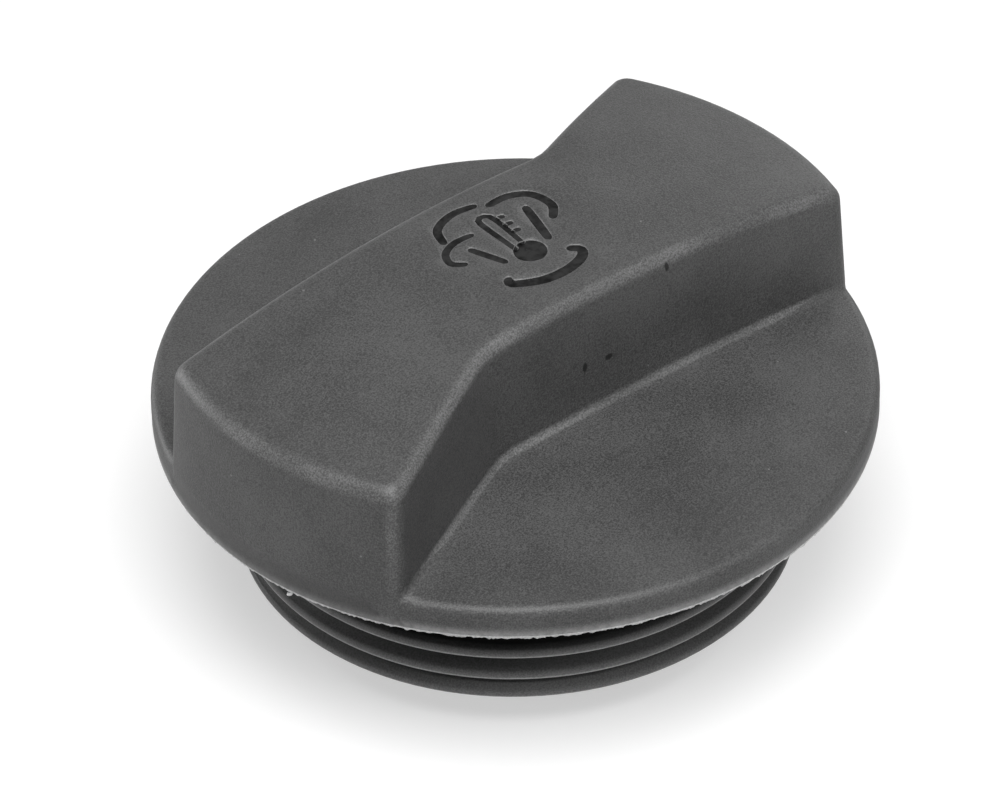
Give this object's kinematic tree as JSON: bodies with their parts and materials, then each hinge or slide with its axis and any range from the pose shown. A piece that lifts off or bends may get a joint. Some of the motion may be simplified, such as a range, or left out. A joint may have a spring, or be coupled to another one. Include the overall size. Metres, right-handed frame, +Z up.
{
  "type": "coolant reservoir cap",
  "caption": "Round screw cap with a waisted bar grip, an external thread below the rim and a sprung valve insert with a sealing ring.",
  "frame": {"origin": "centre of the end face of the insert's nose, which the cap stands on", "axes": "+Z up along the screw axis, +X along the grip"},
  "size_m": [0.0724, 0.0722, 0.0405],
  "materials": {
    "cap_plastic": "fine matte moulding grain, dark grey",
    "insert_plastic": "smooth moulded, near black",
    "seal_rubber": "smooth black rubber",
    "spring_steel": "drawn wire"
  },
  "bodies": {
    "cap": {"cap_body": "cap_plastic"},
    "insert": {"valve_pot": "insert_plastic", "pot_lid": "insert_plastic", "nose_o_ring": "seal_rubber"},
    "pressure_valve": {"pressure_plate": "insert_plastic", "pressure_seal": "seal_rubber", "main_spring": "spring_steel"},
    "vacuum_valve": {"vacuum_stem": "insert_plastic", "vacuum_seal": "seal_rubber", "stem_clip": "spring_steel", "vacuum_spring": "spring_steel"}
  },
  "joints": [
    {"name": "insert_spin", "type": "hinge", "parent": "cap", "child": "insert", "pos_m": [0, 0, 0.016], "axis": [0, 0, 1], "continuous": true},
    {"name": "pressure_lift", "type": "slide", "parent": "insert", "child": "pressure_valve", "axis": [0, 0, 1], "range_m": [0, 0.0025], "stiffness_N_per_m": 500, "springref_m": -0.002, "deforming": ["main_spring"]},
    {"name": "vacuum_open", "type": "slide", "parent": "pressure_valve", "child": "vacuum_valve", "axis": [0, 0, -1], "range_m": [0, 0.0012], "stiffness_N_per_m": 100, "springref_m": -0.001, "deforming": ["vacuum_spring"]}
  ]
}
